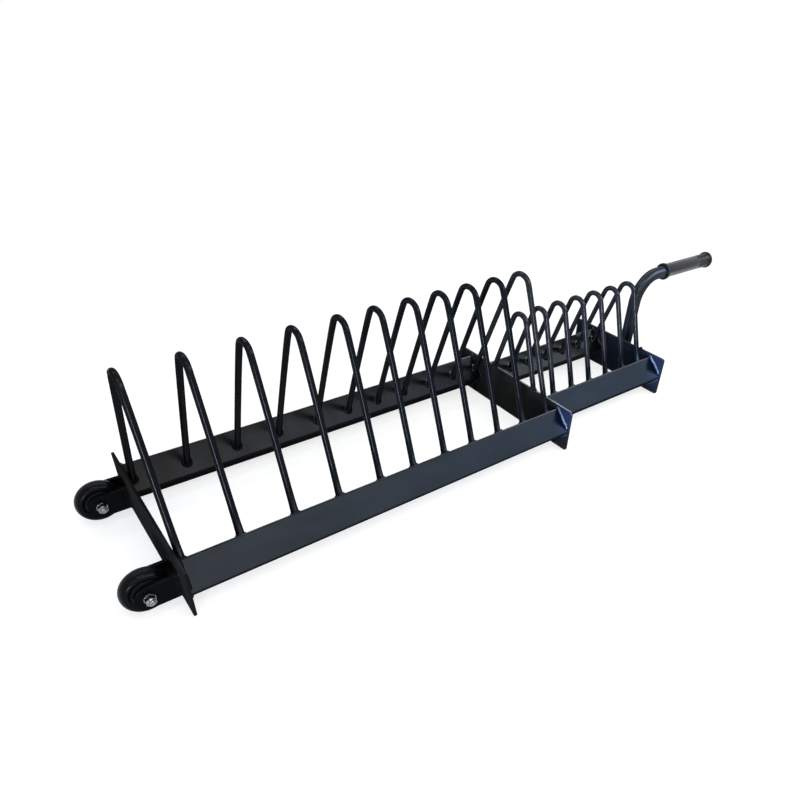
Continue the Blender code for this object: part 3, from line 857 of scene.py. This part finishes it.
def plated_steel(name, dark, light, roughness):
    """Bright metal with clouded plating and fine marks round its axle."""
    finish, tree, shader, place = new_finish(name, metallic=1.0)
    clouds = speckle(tree, place, *PLATING_CLOUDS)
    colour = mix_colours(tree, clouds, dark, light)
    join(tree, shader.inputs["Base Color"], colour)
    join(tree, shader.inputs["Roughness"], remap(tree, clouds, *NOISE_SPAN, *roughness))
    marks = speckle(tree, stretch(tree, place, ROUND_AXLE), *TURNING_MARKS)
    add_bump(tree, shader, (marks, TURNING_MARK_DEPTH))
    return finish


def make_finishes():
    return {
        "black_powder_coat": powder_coat(),
        "tyre_rubber": tyre_rubber(),
        "core_plastic": core_plastic(),
        "grip_rubber": grip_rubber(),
        "zinc_plate": plated_steel("zinc_plate", ZINC_DARK, ZINC_LIGHT, ZINC_ROUGHNESS),
        "bearing_steel": plated_steel(
            "bearing_steel", BEARING_DARK, BEARING_LIGHT, BEARING_ROUGHNESS
        ),
    }


def finish_carried_nodes(finishes):
    """Gives the CAD nodes that stay, such as bearings and spacers, their detailed finish."""
    for node, obj in NODES.items():
        obj.data.materials.clear()
        obj.data.materials.append(finishes[SLOT_OF[node]])


def seen_share(tree):
    """1 for the rays that show the background: seen directly, in a reflection or through glass."""
    rays = tree.nodes.new("ShaderNodeLightPath").outputs
    share = calculate(tree, "MAXIMUM", rays["Is Camera Ray"], rays["Is Glossy Ray"])
    return calculate(tree, "MAXIMUM", share, rays["Is Transmission Ray"])


def build_floor():
    """A pale round floor that meets the white background, and keeps the cart's shadow."""
    bm = bmesh.new()
    bmesh.ops.create_circle(bm, cap_ends=True, segments=FLOOR_SIDES, radius=FLOOR_RADIUS)
    mesh = bpy.data.meshes.new("floor")
    bm.to_mesh(mesh)
    bm.free()
    floor = link(bpy.data.objects.new("floor", mesh))
    finish = bpy.data.materials.new("pale_floor")
    finish.use_nodes = True
    tree = finish.node_tree
    plain = tree.nodes["Principled BSDF"]
    plain.inputs["Base Color"].default_value = (FLOOR_GREY, FLOOR_GREY, FLOOR_GREY, 1.0)
    plain.inputs["Roughness"].default_value = FLOOR_ROUGHNESS
    plain.inputs["Specular IOR Level"].default_value = 0.0
    shaded = tree.nodes.new("ShaderNodeBsdfDiffuse")
    shaded.inputs["Color"].default_value = (FLOOR_SHADE, FLOOR_SHADE, FLOOR_SHADE, 1.0)
    glow = tree.nodes.new("ShaderNodeEmission")
    glow.inputs["Strength"].default_value = FLOOR_GLOW
    both = tree.nodes.new("ShaderNodeAddShader")
    tree.links.new(shaded.outputs[0], both.inputs[0])
    tree.links.new(glow.outputs[0], both.inputs[1])
    white = tree.nodes.new("ShaderNodeEmission")
    fade = tree.nodes.new("ShaderNodeMixShader")
    from_cart = tree.nodes.new("ShaderNodeVectorMath")
    from_cart.operation = "LENGTH"
    tree.links.new(tree.nodes.new("ShaderNodeTexCoord").outputs["Object"], from_cart.inputs[0])
    distance = from_cart.outputs["Value"]
    join(tree, fade.inputs[0], ramp(tree, distance, SHADOW_REACH, WHITE_REACH))
    tree.links.new(both.outputs[0], fade.inputs[1])
    tree.links.new(white.outputs[0], fade.inputs[2])
    choose = tree.nodes.new("ShaderNodeMixShader")
    join(tree, choose.inputs[0], seen_share(tree))
    tree.links.new(plain.outputs[0], choose.inputs[1])
    tree.links.new(fade.outputs[0], choose.inputs[2])
    tree.links.new(choose.outputs[0], tree.nodes["Material Output"].inputs["Surface"])
    mesh.materials.append(finish)


def build_world():
    world = bpy.data.worlds.new("studio")
    world.use_nodes = True
    bpy.context.scene.world = world
    tree = world.node_tree
    room = tree.nodes["Background"]
    room.inputs["Color"].default_value = ROOM_COLOUR
    room.inputs["Strength"].default_value = ROOM_LIGHT
    white = tree.nodes.new("ShaderNodeBackground")
    white.inputs["Strength"].default_value = 1.0
    white.inputs["Color"].default_value = WHITE
    choose = tree.nodes.new("ShaderNodeMixShader")
    join(tree, choose.inputs[0], seen_share(tree))
    tree.links.new(room.outputs[0], choose.inputs[1])
    tree.links.new(white.outputs[0], choose.inputs[2])
    tree.links.new(choose.outputs[0], tree.nodes["World Output"].inputs["Surface"])


def add_softbox(name, place, along, width, height, radiance, colour):
    """A soft rectangular lamp that faces the cart, with its width along a given way."""
    lamp = bpy.data.lights.new(name, "AREA")
    lamp.shape = "RECTANGLE"
    lamp.size = width
    lamp.size_y = height
    lamp.energy = radiance * math.pi * width * height
    lamp.color = colour
    box = link(bpy.data.objects.new(name, lamp))
    back = (Vector(place) - Vector(AIM)).normalized()
    up = back.cross(Vector(along)).normalized()
    turn = Matrix((up.cross(back), up, back)).transposed()
    box.matrix_world = Matrix.Translation(place) @ turn.to_4x4()
    box.visible_camera = False


def build_lamps():
    for lamp in LAMPS:
        add_softbox(*lamp)


def build_camera():
    camera = bpy.data.cameras.new("camera")
    camera.lens = CAMERA_LENS
    camera.sensor_fit = "HORIZONTAL"
    camera.sensor_width = SENSOR_WIDTH
    camera.shift_x, camera.shift_y = CAMERA_SHIFT
    view = link(bpy.data.objects.new("camera", camera))
    turn = Matrix.Rotation(math.radians(-CAMERA_HEADING), 4, "Z")
    turn = turn @ Matrix.Rotation(math.radians(90 - CAMERA_TILT), 4, "X")
    turn = turn @ Matrix.Rotation(math.radians(CAMERA_ROLL), 4, "Z")
    view.matrix_world = Matrix.Translation(CAMERA_PLACE) @ turn
    bpy.context.scene.camera = view


def main():
    bpy.context.scene.view_settings.view_transform = "Standard"
    build_camera()
    build_floor()
    build_world()
    build_lamps()
    finishes = make_finishes()
    paint = finishes["black_powder_coat"]
    finish_carried_nodes(finishes)
    build_plates(paint)
    build_rails(paint)
    build_hoops(paint)
    build_forks(paint)
    build_handle(paint, finishes["grip_rubber"])
    build_wheels(finishes)
    build_lump(paint)


main()
